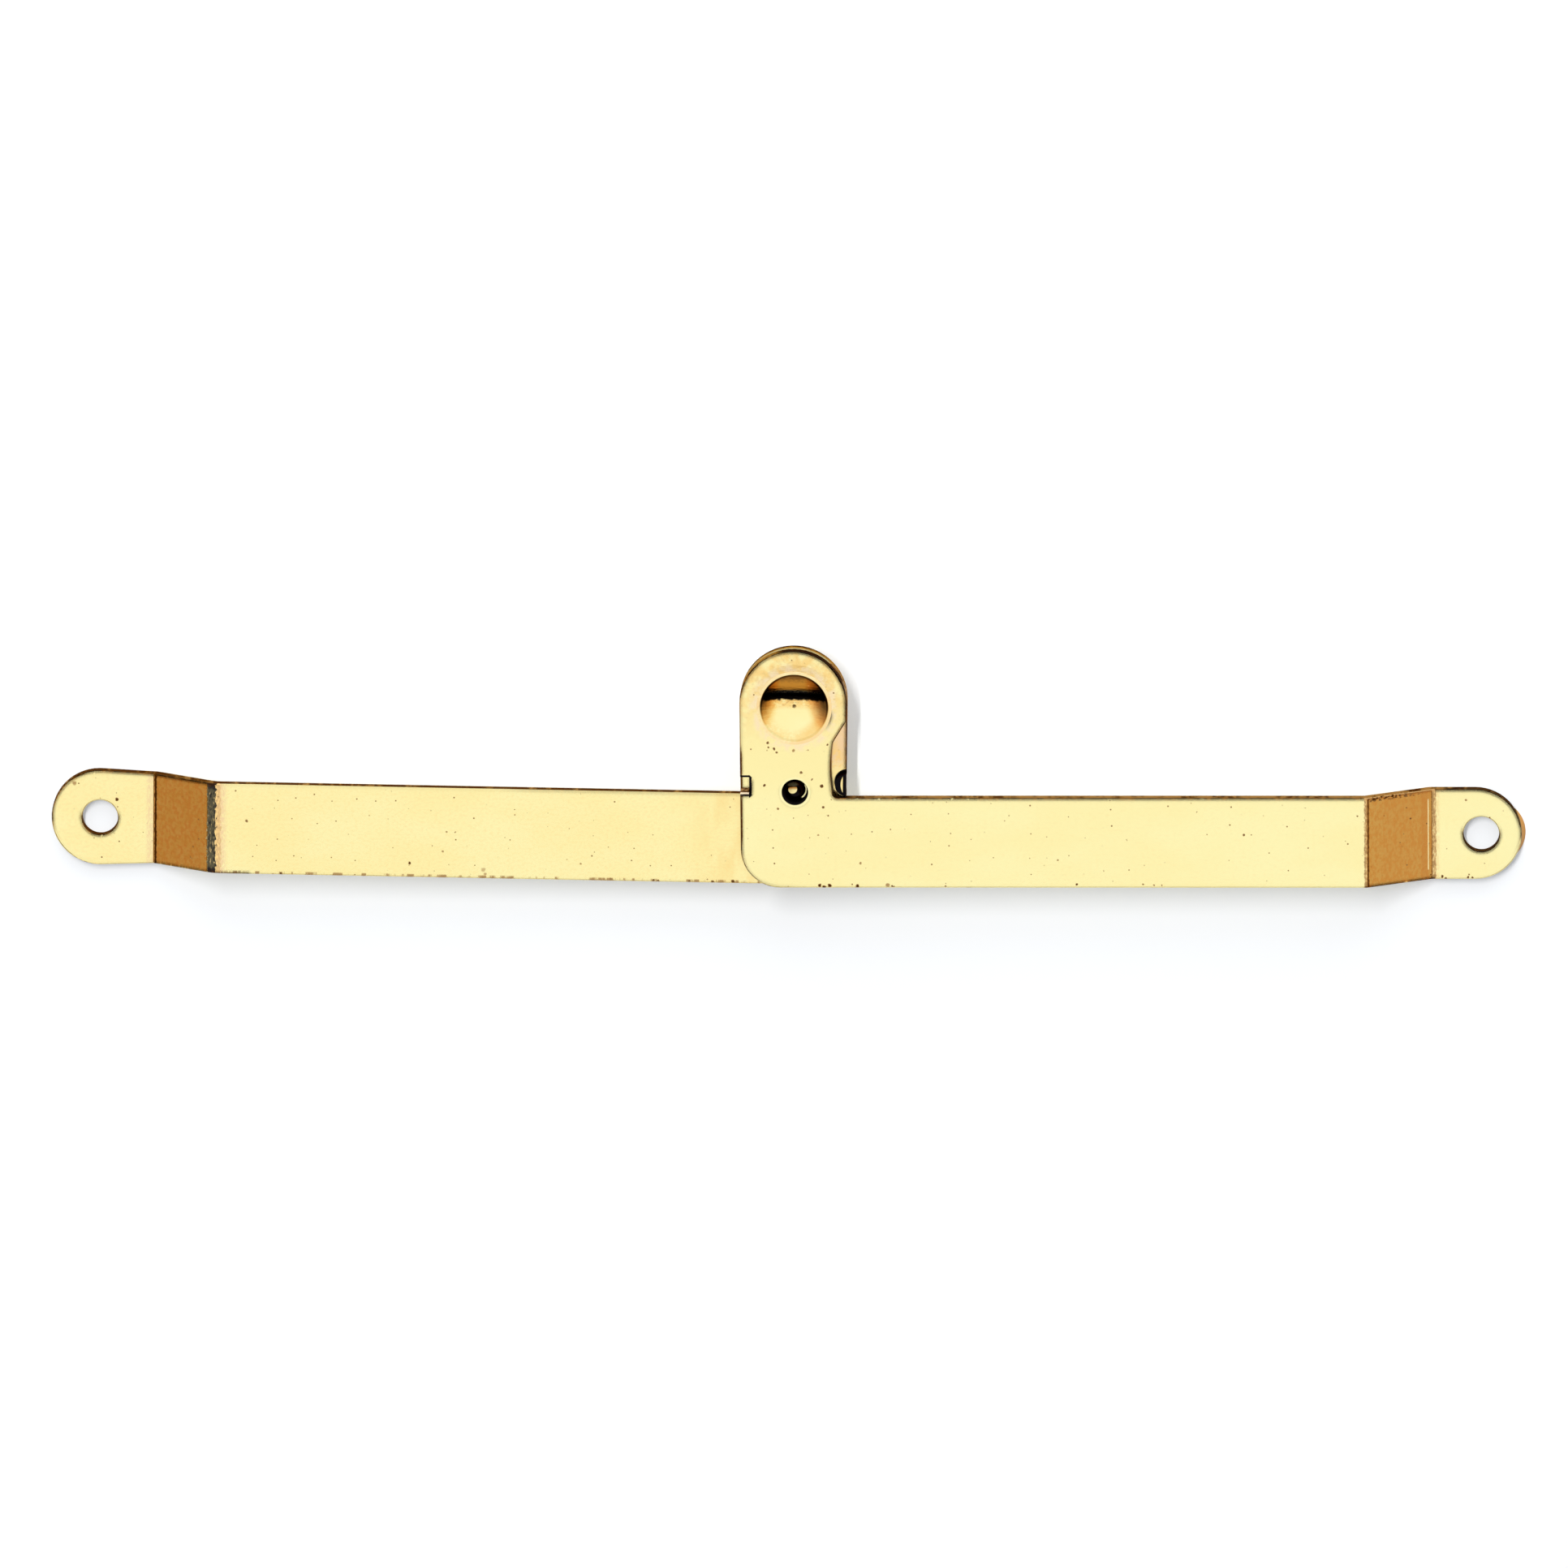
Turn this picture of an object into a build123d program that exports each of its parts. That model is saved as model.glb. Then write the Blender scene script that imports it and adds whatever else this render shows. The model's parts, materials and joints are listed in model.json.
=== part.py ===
"""Folding lid stay: two stamped arms turning on one rivet, locked a little past straight.

The origin is the centre of the rear arm's screw hole, on the face that lies on the box.
+X runs along the rear arm towards the pivot, +Y towards the round heads, +Z to the front.
"""

import math
import os

from build123d import *

os.makedirs("parts", exist_ok=True)

# Driving dimensions, in millimetres and degrees.

# Sheet and strip, the same on both arms
sheet_thickness = 1.2
strip_width = 10.36
screw_hole_radius = 2.0
crank_depth = 4.1
bend_inside_radius = 0.3
face_edge_round = 0.14
back_edge_break = 0.06

# Head and neck, the same on both arms; heights are measured from the pivot
head_rise = 0.55
pivot_to_strip = 15.53
heel_radius = 4.4
shoulder_top_drop = 1.55
shoulder_foot_drop = 4.0
shoulder_blend = 0.35
neck_hollow = 0.25

# Front arm: the screw hole's reach is from the pivot, the tip and the crank's foot from the hole
front_head_side = 6.12
front_head_radius = 5.97
front_hole_reach = 76.7
front_tip_past_hole = 4.5
front_foot_before_hole = 5.5
front_crank_run = 7.2
front_knee_radius = 0.8

# Rear arm, measured in the same way
rear_head_side = 5.9
rear_head_radius = 6.0
rear_hole_reach = 78.0
rear_tip_past_hole = 5.45
rear_foot_before_hole = 6.0
rear_crank_run = 6.9
rear_knee_radius = 3.0
rear_tab_flare = 0.54

# Stop lugs, half sheared out of each arm's edge towards the other arm
lug_inner_side = 4.65
lug_height = 2.5
lug_wall = 0.27
lug_lower_wall = 0.1
lug_web = 0.2
lug_ramp = 0.6
recess_corner_radius = 0.3
lug_corner_radius = 1.2
lug_side_room = 0.6
stop_clearance = 0.05
past_straight_angle = 1.1

# Detent: a dimple in the front arm, over a hole in the rear arm
detent_reach = 9.7
dimple_rim_radius = 1.5
dimple_ledge_radius = 1.25
dimple_floor_radius = 0.7
dimple_ledge_depth = 0.25
dimple_wall_depth = 0.9
dimple_depth = 1.1
dimple_bump_radius = 1.2
dimple_bump_clearance = 0.1
detent_hole_radius = 1.4

# Pivot rivet
plate_gap = 0.4
rivet_neck_radius = 4.2
journal_shoulder = 0.4
journal_clearance = 0.05
rivet_head_overlap = 0.95
rivet_head_thickness = 1.1
rivet_head_bevel = 0.5
rivet_head_play = 0.05
dish_rim_width = 0.4
dish_depth = 0.8
dish_rim_round = 0.1
centre_mark_radius = 0.25
centre_mark_depth = 0.2
setting_ring_width = 0.8
setting_ring_depth = 0.06

# Trimming nib left at the front arm's tip
nib_radius = 3.2
nib_reach = 0.45

# Sizes worked out from those above
strip_top = strip_width / 2 - pivot_to_strip
strip_bottom = -strip_width / 2 - pivot_to_strip
neck_edge = lug_inner_side - lug_side_room
neck_fillet = lug_side_room - stop_clearance
journal_radius = rivet_neck_radius + journal_shoulder
pivot_bore_radius = journal_radius + journal_clearance
rivet_head_radius = pivot_bore_radius + rivet_head_overlap
dish_radius = rivet_neck_radius - dish_rim_width
setting_ring_radius = rivet_neck_radius + setting_ring_width
dimple_bump_height = plate_gap - dimple_bump_clearance
lug_press = sheet_thickness - lug_web
rear_plate_height = crank_depth
front_plate_height = rear_plate_height + sheet_thickness + plate_gap
cutter_length = 4 * pivot_to_strip


def corner(sketch, place):
    """The sketch's vertex nearest to a place."""
    return sketch.vertices().sort_by_distance(Vector(*place))[0]


def head_outline(head_side, head_radius, flat_end):
    """Flat outline of head, neck and heel, with the side cut that clears the other arm's lug."""
    far_side = 2 * head_radius - head_side
    head_top = (head_radius - head_side, head_rise + head_radius)
    shoulder_top = (far_side, -shoulder_top_drop)
    shoulder_foot = (neck_edge + neck_hollow, -shoulder_foot_drop)
    neck_foot = (neck_edge + neck_hollow, strip_top)
    side_top = (-head_side, head_rise)
    heel = (-head_side, strip_bottom)
    border = ThreePointArc(side_top, head_top, (far_side, head_rise))
    border += Polyline((far_side, head_rise), shoulder_top, shoulder_foot)
    border += SagittaArc(shoulder_foot, neck_foot, -neck_hollow)
    border += Polyline(neck_foot, (flat_end, strip_top), (flat_end, strip_bottom), heel, side_top)
    outline = make_face(border)
    outline = fillet(corner(outline, heel), heel_radius)
    outline = fillet(corner(outline, neck_foot), neck_fillet)
    for place in (shoulder_top, shoulder_foot):
        outline = fillet(corner(outline, place), shoulder_blend)
    return outline


def tab_outline(start, flare, tip_reach):
    """Flat outline of the tab, wider by the flare at its round tip than where it leaves the strip."""
    near = strip_width / 2
    far = near + flare / 2
    tip_centre = tip_reach - far
    sides = Polyline((start, near), (start, -near), (tip_centre, -far), (tip_centre, far), close=True)
    outline = make_face(sides) + Pos(tip_centre, 0) * Circle(far)
    return Pos(0, -pivot_to_strip) * outline


def side_profile(crank_start, crank_run, knee_radius, far_end):
    """The folded sheet seen from its edge: flat, knee, crank to the back, foot bend, flat tab."""
    slope = math.atan2(crank_depth, crank_run)
    back_shift = sheet_thickness * math.tan(slope / 2)
    crank_end = crank_start + crank_run
    near_end = -cutter_length
    front_knee = (crank_start, sheet_thickness)
    front_foot = (crank_end, sheet_thickness - crank_depth)
    back_foot = (crank_end - back_shift, -crank_depth)
    back_knee = (crank_start - back_shift, 0)
    points = [(near_end, 0), (near_end, sheet_thickness), front_knee, front_foot]
    points += [(far_end, sheet_thickness - crank_depth), (far_end, -crank_depth)]
    points += [back_foot, back_knee]
    profile = make_face(Polyline(*points, close=True))
    knee_inside = max(knee_radius - sheet_thickness, bend_inside_radius)
    profile = fillet(corner(profile, front_knee), knee_radius)
    profile = fillet(corner(profile, back_knee), knee_inside)
    profile = fillet(corner(profile, front_foot), bend_inside_radius)
    return fillet(corner(profile, back_foot), bend_inside_radius + sheet_thickness)


def rim_edges(solid, facing):
    """Edges round all the faces that look to the front (facing 1) or the back (facing -1)."""
    faces = [face for face in solid.faces() if facing * face.normal_at(face.center()).Z > 0.3]
    edges = [edge for face in faces for edge in face.edges()]
    centres = [edge.center() for edge in edges]
    shared = [sum((centre - other).length < 1e-4 for other in centres) for centre in centres]
    return [edge for edge, count in zip(edges, shared) if count == 1]


def stamped_arm(
    head_side,
    head_radius,
    hole_reach,
    tip_past_hole,
    foot_before_hole,
    crank_run,
    knee_radius,
    tab_flare=0,
):
    """One arm with its pivot at the origin, its back face at Z 0 and its strip along +X."""
    tip_reach = hole_reach + tip_past_hole
    crank_end = hole_reach - foot_before_hole
    crank_start = crank_end - crank_run
    outline = head_outline(head_side, head_radius, crank_end)
    outline += tab_outline(crank_end, tab_flare, tip_reach)
    outline -= Pos(hole_reach, -pivot_to_strip) * Circle(screw_hole_radius)
    column = extrude(outline, cutter_length, both=True)
    folded = side_profile(crank_start, crank_run, knee_radius, tip_reach + cutter_length)
    arm = column & extrude(Plane.XZ * folded, cutter_length, both=True)
    arm = fillet(rim_edges(arm, 1), face_edge_round)
    return chamfer(rim_edges(arm, -1), back_edge_break)


def lug_foot(head_side):
    """Height of a lug's lower edge, whose outer corner stops on the other arm's strip."""
    turn = math.radians(past_straight_angle)
    return (strip_top + stop_clearance + head_side * math.sin(turn)) / math.cos(turn)


def lug_outline(head_side, wall, lower_wall, corner_radius):
    """A lug's outline on the head's straight side, drawn in by a wall on its inner sides."""
    left = -head_side
    inner = -lug_inner_side - wall
    low = lug_foot(head_side) + lower_wall
    high = lug_foot(head_side) + lug_height - wall
    outline = Pos((left + inner) / 2, (low + high) / 2) * Rectangle(inner - left, high - low)
    for height in (low, high):
        outline = fillet(corner(outline, (inner, height)), corner_radius)
    return outline


def press_lug(arm, head_side, toward_back):
    """Push the lug out of the arm, to the back or to the front, leaving a recess behind it."""
    floor = sheet_thickness - lug_press
    ramp_foot = lug_foot(head_side) + lug_lower_wall
    recess = lug_outline(head_side, lug_wall, lug_lower_wall, recess_corner_radius)
    pocket = Pos(0, 0, floor) * extrude(recess, 2 * lug_press)
    ramp = Polyline(
        (ramp_foot, floor), (ramp_foot + lug_ramp, floor), (ramp_foot, sheet_thickness), close=True
    )
    pocket -= extrude(Plane.YZ * make_face(ramp), -head_side)
    raised = lug_outline(head_side, 0, 0, lug_corner_radius)
    lug = Pos(0, 0, -lug_press) * extrude(raised, sheet_thickness)
    if not toward_back:
        swap = Plane.XY.offset(sheet_thickness / 2)
        pocket = mirror(pocket, swap)
        lug = mirror(lug, swap)
    return arm - pocket + lug


def turned(points):
    """The solid that the closed outline through (radius, height) points turns round the Z axis."""
    return revolve(Plane.XZ * make_face(Polyline(*points, close=True)), Axis.Z)


def spherical_cap(rim_radius, height):
    """A cap of a ball, standing on its flat circle at Z 0; a negative height hangs below."""
    ball_radius = (rim_radius**2 + height**2) / (2 * abs(height))
    side = math.copysign(1, height)
    ball = Pos(0, 0, height - side * ball_radius) * Sphere(ball_radius)
    block_size = 4 * ball_radius
    block = Pos(0, 0, side * block_size / 2) * Box(block_size, block_size, block_size)
    return ball & block


def press_dimple(arm):
    """The detent dimple: a pit in the front face with a low bump on the back."""
    place = Pos(0, -detent_reach, 0)
    face = sheet_thickness
    wall_foot = face - dimple_wall_depth
    pit = turned(
        [
            (0, wall_foot),
            (dimple_floor_radius, wall_foot),
            (dimple_ledge_radius, face - dimple_ledge_depth),
            (dimple_rim_radius, face),
            (dimple_rim_radius, face + dimple_depth),
            (0, face + dimple_depth),
        ]
    )
    floor_drop = dimple_depth - dimple_wall_depth
    pit += Pos(0, 0, wall_foot) * spherical_cap(dimple_floor_radius, -floor_drop)
    bump = spherical_cap(dimple_bump_radius, -dimple_bump_height)
    return arm + place * bump - place * pit


def front_arm():
    """The arm in front: it carries the rivet, the dimple and a lug pressed to the back."""
    arm = stamped_arm(
        front_head_side,
        front_head_radius,
        front_hole_reach,
        front_tip_past_hole,
        front_foot_before_hole,
        front_crank_run,
        front_knee_radius,
    )
    arm = press_lug(arm, front_head_side, True)
    arm = press_dimple(arm)
    arm -= Cylinder(rivet_neck_radius, cutter_length)
    ring_floor = sheet_thickness - setting_ring_depth
    arm -= turned(
        [
            (0, ring_floor),
            (rivet_neck_radius, ring_floor),
            (setting_ring_radius, sheet_thickness),
            (0, sheet_thickness),
        ]
    )
    return arm + trimming_nib()


def trimming_nib():
    """The flared remnant at the front arm's tip where it was trimmed off the strip."""
    standing = (Align.CENTER, Align.CENTER, Align.MIN)
    flare = Cone(nib_radius + nib_reach, nib_radius, sheet_thickness, align=standing)
    outer_part = Pos(nib_radius, 0, 0) * Box(nib_radius, cutter_length, cutter_length)
    tip_reach = front_hole_reach + front_tip_past_hole
    middle = Pos(tip_reach - nib_radius, -pivot_to_strip, -crank_depth)
    return middle * (flare & outer_part)


def rear_arm():
    """The arm behind: it turns on the rivet and has a lug pressed to the front."""
    arm = stamped_arm(
        rear_head_side,
        rear_head_radius,
        rear_hole_reach,
        rear_tip_past_hole,
        rear_foot_before_hole,
        rear_crank_run,
        rear_knee_radius,
        rear_tab_flare,
    )
    arm = press_lug(arm, rear_head_side, False)
    arm -= Cylinder(pivot_bore_radius, cutter_length)
    arm = mirror(arm, Plane.YZ)
    detent = Rot(0, 0, past_straight_angle) * Pos(0, -detent_reach, 0)
    return arm - detent * Cylinder(detent_hole_radius, cutter_length)


def pivot_rivet():
    """The rivet: head at the back, journal in the rear arm, neck set in the front arm, dished end."""
    head_front = rear_plate_height - rivet_head_play
    head_back = head_front - rivet_head_thickness
    face = front_plate_height + sheet_thickness
    body = turned(
        [
            (0, head_back),
            (rivet_head_radius - rivet_head_bevel, head_back),
            (rivet_head_radius, head_back + rivet_head_bevel),
            (rivet_head_radius, head_front),
            (journal_radius, head_front),
            (journal_radius, front_plate_height),
            (rivet_neck_radius, front_plate_height),
            (rivet_neck_radius, face),
            (0, face),
        ]
    )
    body -= Pos(0, 0, face) * spherical_cap(dish_radius, -dish_depth)
    rim = body.edges().filter_by(GeomType.CIRCLE).filter_by(
        lambda edge: abs(edge.radius - dish_radius) < 1e-3 and abs(edge.center().Z - face) < 1e-3
    )
    body = fillet(rim, dish_rim_round)
    floor = face - dish_depth
    mark_top = floor + centre_mark_depth
    mark = turned([(0, floor - centre_mark_depth), (2 * centre_mark_radius, mark_top), (0, mark_top)])
    return body - mark


to_origin = Pos(rear_hole_reach, pivot_to_strip, 0)
front_place = to_origin * Pos(0, 0, front_plate_height) * Rot(0, 0, past_straight_angle)
rear_place = to_origin * Pos(0, 0, rear_plate_height)

parts = {
    "front_arm": front_place * front_arm(),
    "rear_arm": rear_place * rear_arm(),
    "pivot_rivet": to_origin * pivot_rivet(),
}

for name, shape in parts.items():
    shape.label = name
    export_step(shape, f"parts/{name}.step")
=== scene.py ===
"""Looks of the folding lid stay: brass-plated stampings lying on a pale floor in soft light."""

import json
import math
from types import SimpleNamespace

import bpy
from mathutils import Matrix, Vector


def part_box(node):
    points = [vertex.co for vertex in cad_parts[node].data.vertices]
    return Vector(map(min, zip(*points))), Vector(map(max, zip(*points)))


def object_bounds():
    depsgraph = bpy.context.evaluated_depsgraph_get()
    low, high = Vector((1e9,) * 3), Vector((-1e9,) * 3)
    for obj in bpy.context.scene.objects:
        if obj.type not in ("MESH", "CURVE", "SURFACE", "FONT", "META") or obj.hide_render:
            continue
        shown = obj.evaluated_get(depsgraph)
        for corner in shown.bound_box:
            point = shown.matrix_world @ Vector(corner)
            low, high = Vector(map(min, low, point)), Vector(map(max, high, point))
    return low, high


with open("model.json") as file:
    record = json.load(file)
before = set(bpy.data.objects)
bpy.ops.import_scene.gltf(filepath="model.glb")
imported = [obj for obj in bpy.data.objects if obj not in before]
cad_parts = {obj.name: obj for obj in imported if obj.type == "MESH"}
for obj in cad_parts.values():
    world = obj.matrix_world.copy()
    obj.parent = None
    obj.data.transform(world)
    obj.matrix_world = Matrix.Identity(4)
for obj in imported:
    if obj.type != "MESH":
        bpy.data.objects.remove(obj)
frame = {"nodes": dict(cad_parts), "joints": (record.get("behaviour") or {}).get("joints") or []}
cad_low, cad_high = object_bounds()

# Sizes and places, in the stay's own frame. The camera, floor and lamp are in metres and degrees,
# and the camera's sensor in millimetres.

# Camera: tilted towards the heads, leaning a little to the right, far off through a long lens
camera_tilt = 14.0
camera_lean = 2.0
camera_roll = 0.58
camera_distance = 3.0
view_width = 0.1756
aim_shift_x = -0.0004
aim_shift_y = -0.0024
sensor_width = 36.0
clip_end = 100.0

# Floor, tilted so that both tabs rest on it. Its glow is only for the camera and for mirrors.
floor_size = 3.0
floor_clearance = 0.00002
floor_grey = 0.62
floor_glow = 0.30
glow_colour = (0.95, 0.98, 1.00)

# A long narrow lamp for the shadows: sharp to the side, soft towards the foot of the stay
strip_lamp_way = (-0.24, 0.42, 1.0)
strip_lamp_distance = 2.2
strip_lamp_width = 0.08
strip_lamp_length = 1.3
strip_lamp_irradiance = 2.7

# How a surface's slope tells walls, rims and faces apart: the parts of its direction, from 0 to 1
wall_slope = (0.42, 0.25)
rim_slope = (0.985, 0.90)
rim_agreement = (0.992, 0.965)
sideways_slope = (0.10, 0.30)
near_side_slope = (0.05, 0.12)
front_slope = (0.15, 0.30)
down_slope = (-0.02, -0.16)
up_slope = (0.03, 0.14)

# The width of the dark line beside an edge, and the fine unevenness of the metal, in metres
edge_reach = 0.00072
edge_samples = 6
arm_bump_depth = 0.000004
rivet_bump_depth = 0.000006

# How rough the plating is, and how much rougher on walls, marks and dull places
plate_roughness = 0.16
extra_roughness = 0.35

# Marks on the metal are in millimetres from the pivot, X along the arm and Y towards the head.
MILLIMETRE = 0.001
past_straight_angle = 1.1
strip_top = -10.35
strip_bottom = -20.71
rivet_edge = 4.2
rivet_face_height = 2.2
setting_ring = 5.0
rivet_line_reach = (4.9, 5.05)
dish_edge = 3.8
centre_mark = (0.0, 0.05, 0.0)
detent_reach = 9.7
pit_edge = 1.5
ledge_centre = (0.06, 0.30)
recess_right = -4.92
recess_top = -7.95
recess_bottom = -10.08
tab_tip_centre = (76.02, -15.53)
front_tip_radius = 5.18
left_side = -6.12
lug_centre = (6.02, -8.75)
lug_light_centre = (7.15, -8.85)
lug_light_side = (5.56, 5.48)
front_knee = 64.0
front_foot = 71.2
rear_foot = -72.0
rear_knee = -65.1

# Where marks fade in, from nothing to full, and where lines end. First on both arms, then on the
# front one, then on the rear one.
head_walls_start = (-2.0, 1.0)
head_left_across = (-4.0, -4.6)
head_left_along = (-6.0, -4.5)
head_wall_shade_heights = (0.10, -0.10)
head_wall_shade_right_end = (4.5, 2.0)

head_tone_start = (-13.0, -6.0)
head_warmth_start = (-6.0, 5.0)
head_arc_along = (-3.0, -1.0)
head_arc_across = (-2.6, -1.0)
crumbs_right_end = (71.0, 67.0)
left_edge_shade_ends = (-14.6, -5.5)
bend_highlight_ends = (-19.4, -11.6)

knuckle_tone_start = (-13.0, -6.3)
neck_left = (3.5, 4.2)
neck_bottom = (-9.0, -7.0)
neck_tone_start = (-7.8, -5.6)
neck_freckles = (-6.8, -5.4)
rear_head_line_start = (-6.0, -4.0)
rear_strip_line_start = (-36.0, -28.0)

# Spots end at the halo and are full at the core, as shares of their radius.
spot_halo = 1.15
spot_core = 0.45
speck_strength = 0.6
pepper_scale = 0.45
pepper_size = 0.03

# How coarse and how strong the raggedness of the borders of marks is
shake_scale = 2.5
shake_amount = 0.25

# How golden and clean the sheared walls are, from 0.3 to 0.7
front_clean = 0.58
rear_clean = 0.40

pivot = Vector(frame["joints"][0]["pos_m"])
front_low, front_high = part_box("front_arm")

# Colours of the metal, and how much of a dull place is not metal. Torn sheen is what
# torn metal mirrors at a shallow angle.
dull_share = 0.65
plate_pale = (0.965, 0.885, 0.455)
plate_yellow = (0.965, 0.840, 0.395)
plate_orange = (0.930, 0.620, 0.210)
plate_pink = (0.940, 0.740, 0.500)
neck_rose = (0.880, 0.620, 0.350)
neck_orange = (0.900, 0.620, 0.270)
crank_gold = (0.900, 0.756, 0.270)
crank_brown = (0.620, 0.360, 0.140)
cut_tan = (0.420, 0.230, 0.085)
cut_gold = (0.560, 0.290, 0.060)
cut_shade = (0.300, 0.160, 0.040)
cut_brown = (0.090, 0.034, 0.006)
line_brown = (0.210, 0.072, 0.004)
line_black = (0.032, 0.010, 0.001)
speck_brown = (0.100, 0.032, 0.002)
# Colours of the painted reflection along the rear knee
fold_olive = (0.090, 0.078, 0.042)
fold_streak = (0.480, 0.350, 0.150)
# The colour of the painted highlight before the front foot
highlight_peach = (0.960, 0.760, 0.360)
nib_orange = (0.640, 0.300, 0.060)
# Colours of the painted reflection in the dish
dish_amber = (0.500, 0.215, 0.028)
dish_umber = (0.170, 0.075, 0.018)
pit_olive = (0.100, 0.090, 0.050)
# Black for painted shade and painted dark reflections
painted_black = (0.006, 0.005, 0.006)
torn_sheen = (0.550, 0.400, 0.250)


# Node helpers


def put(tree, kind):
    return tree.nodes.new("ShaderNode" + kind)


def feed(tree, value, socket):
    """Link a socket's output to an input, or set the input to a plain number or colour."""
    if isinstance(value, bpy.types.NodeSocket):
        tree.links.new(value, socket)
    elif isinstance(value, tuple) and len(value) == 3 and socket.type == "RGBA":
        socket.default_value = (*value, 1)
    else:
        socket.default_value = value


def maths(tree, operation, *values):
    node = put(tree, "Math")
    node.operation = operation
    for value, socket in zip(values, node.inputs):
        feed(tree, value, socket)
    return node.outputs["Value"]


def times(tree, *values):
    product = values[0]
    for value in values[1:]:
        product = maths(tree, "MULTIPLY", product, value)
    return product


def most(tree, *values):
    largest = values[0]
    for value in values[1:]:
        largest = maths(tree, "MAXIMUM", largest, value)
    return largest


def rest_of(tree, value):
    return maths(tree, "SUBTRACT", 1.0, value)


def rise(tree, value, start, end):
    """0 at the start and 1 at the end, smooth between them; the end may be the smaller one."""
    node = put(tree, "MapRange")
    node.interpolation_type = "SMOOTHSTEP"
    feed(tree, value, node.inputs["Value"])
    feed(tree, start, node.inputs["From Min"])
    feed(tree, end, node.inputs["From Max"])
    return node.outputs["Result"]


def band(tree, value, low, high, soft):
    """1 between low and high, falling to 0 over the soft width on both sides."""
    up = rise(tree, value, low - soft, low)
    down = rise(tree, value, high + soft, high)
    return times(tree, up, down)


def blend(tree, factor, under, over):
    node = put(tree, "Mix")
    node.data_type = "RGBA"
    feed(tree, factor, node.inputs[0])
    feed(tree, under, node.inputs[6])
    feed(tree, over, node.inputs[7])
    return node.outputs[2]


def lay(tree, under, over, *masks):
    """One colour over another, as far as all the masks let it."""
    return blend(tree, times(tree, *masks), under, over)


def grain(tree, place, scale, detail, stretch=(1, 1, 1)):
    """Noise from 0 to 1; the stretch divides its size along each axis."""
    mapping = put(tree, "Mapping")
    mapping.inputs["Scale"].default_value = stretch
    noise = put(tree, "TexNoise")
    noise.inputs["Scale"].default_value = scale
    noise.inputs["Detail"].default_value = detail
    feed(tree, place, mapping.inputs["Vector"])
    feed(tree, mapping.outputs["Vector"], noise.inputs["Vector"])
    return noise.outputs["Fac"]


def patches(tree, place, scale, detail, start, end, stretch=(1, 1, 1)):
    """A mask of noise, 0 where it is under the start and 1 where it is over the end."""
    return rise(tree, grain(tree, place, scale, detail, stretch), start, end)


def split(tree, vector):
    node = put(tree, "SeparateXYZ")
    feed(tree, vector, node.inputs["Vector"])
    return node.outputs["X"], node.outputs["Y"], node.outputs["Z"]


def distance(tree, place, point):
    node = put(tree, "VectorMath")
    node.operation = "DISTANCE"
    feed(tree, place, node.inputs[0])
    node.inputs[1].default_value = point
    return node.outputs["Value"]


def new_group(name, inputs, outputs):
    """An empty node group with float inputs and outputs, but for a vector called Place."""
    group = bpy.data.node_groups.new(name, "ShaderNodeTree")
    for label in inputs:
        kind = "NodeSocketVector" if label == "Place" else "NodeSocketFloat"
        group.interface.new_socket(name=label, in_out="INPUT", socket_type=kind)
    for label in outputs:
        group.interface.new_socket(name=label, in_out="OUTPUT", socket_type="NodeSocketFloat")
    return group, group.nodes.new("NodeGroupInput"), group.nodes.new("NodeGroupOutput")


def use_group(tree, group, **values):
    node = put(tree, "Group")
    node.node_tree = group
    for label, value in values.items():
        feed(tree, value, node.inputs[label.replace("_", " ")])
    return node


# Shared effects


def cut_edge_group():
    """Masks for the sheared walls and for the rims, a rounding and the strip of face beside it.

    Between Bend Start and Bend End a surface that only slopes along the arm is no edge. Down
    and Up tell the rims on the foot's and the head's side, and Front the faces that look up.
    """
    labels = ("Wall", "Rim", "Front", "Down", "Up")
    group, given, made = new_group("cut_edges", ("Place", "Bend Start", "Bend End"), labels)
    facing = put(group, "TexCoord").outputs["Normal"]
    _, along_y, up = split(group, facing)
    x, _, _ = split(group, given.outputs["Place"])
    upright = maths(group, "ABSOLUTE", up)
    wall = rise(group, upright, *wall_slope)
    in_bend = times(
        group,
        maths(group, "GREATER_THAN", x, given.outputs["Bend Start"]),
        maths(group, "LESS_THAN", x, given.outputs["Bend End"]),
    )
    sideways = rise(group, maths(group, "ABSOLUTE", along_y), *sideways_slope)
    plain_bend = times(group, in_bend, rest_of(group, sideways))
    tipped = rise(group, upright, *rim_slope)
    rim = times(group, tipped, rest_of(group, wall), rest_of(group, plain_bend))
    near = put(group, "Bevel")
    near.samples = edge_samples
    near.inputs["Radius"].default_value = edge_reach
    own = put(group, "VectorTransform")
    own.vector_type = "NORMAL"
    own.convert_from = "WORLD"
    own.convert_to = "OBJECT"
    feed(group, near.outputs["Normal"], own.inputs["Vector"])
    agree = put(group, "VectorMath")
    agree.operation = "DOT_PRODUCT"
    feed(group, own.outputs["Vector"], agree.inputs[0])
    feed(group, facing, agree.inputs[1])
    _, near_y, _ = split(group, own.outputs["Vector"])
    near_side = rise(group, maths(group, "ABSOLUTE", near_y), *near_side_slope)
    beside = times(
        group,
        rise(group, agree.outputs["Value"], *rim_agreement),
        rest_of(group, wall),
        rest_of(group, times(group, in_bend, rest_of(group, near_side))),
    )
    feed(group, times(group, wall, rest_of(group, plain_bend)), made.inputs["Wall"])
    feed(group, most(group, rim, beside), made.inputs["Rim"])
    feed(group, rise(group, up, *front_slope), made.inputs["Front"])
    feed(group, rise(group, near_y, *down_slope), made.inputs["Down"])
    feed(group, rise(group, near_y, *up_slope), made.inputs["Up"])
    return group


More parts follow.
